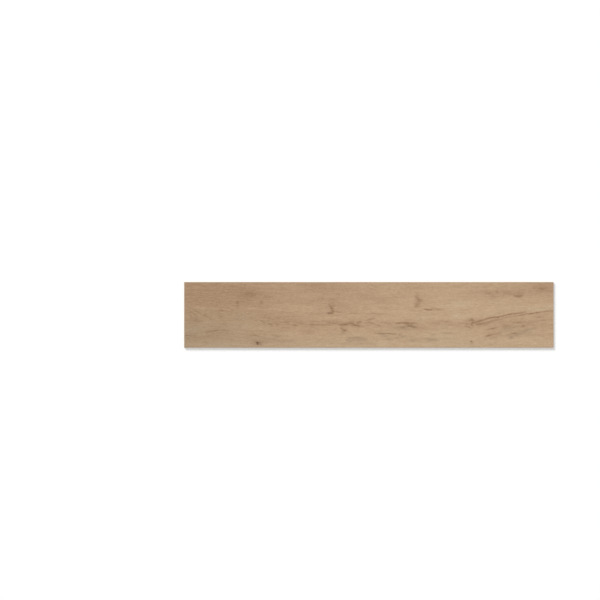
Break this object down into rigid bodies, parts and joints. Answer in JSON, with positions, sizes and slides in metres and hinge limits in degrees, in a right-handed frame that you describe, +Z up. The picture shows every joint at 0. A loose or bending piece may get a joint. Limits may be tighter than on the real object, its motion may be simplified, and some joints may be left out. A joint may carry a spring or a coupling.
{
  "type": "wood look porcelain plank tile",
  "caption": "Flat rectangular porcelain floor tile with a matte wood grain face, square ground edges and a back pressed with shallow cells for the adhesive.",
  "frame": {"origin": "centre of the back, on the plane of its ribs", "axes": "+X along the plank's length, +Y across its width, +Z up out of the printed face"},
  "size_m": [1.143, 0.2032, 0.0095],
  "materials": {
    "glazed_porcelain": "matte"
  },
  "bodies": {
    "root": {"plank": "glazed_porcelain"}
  },
  "joints": []
}
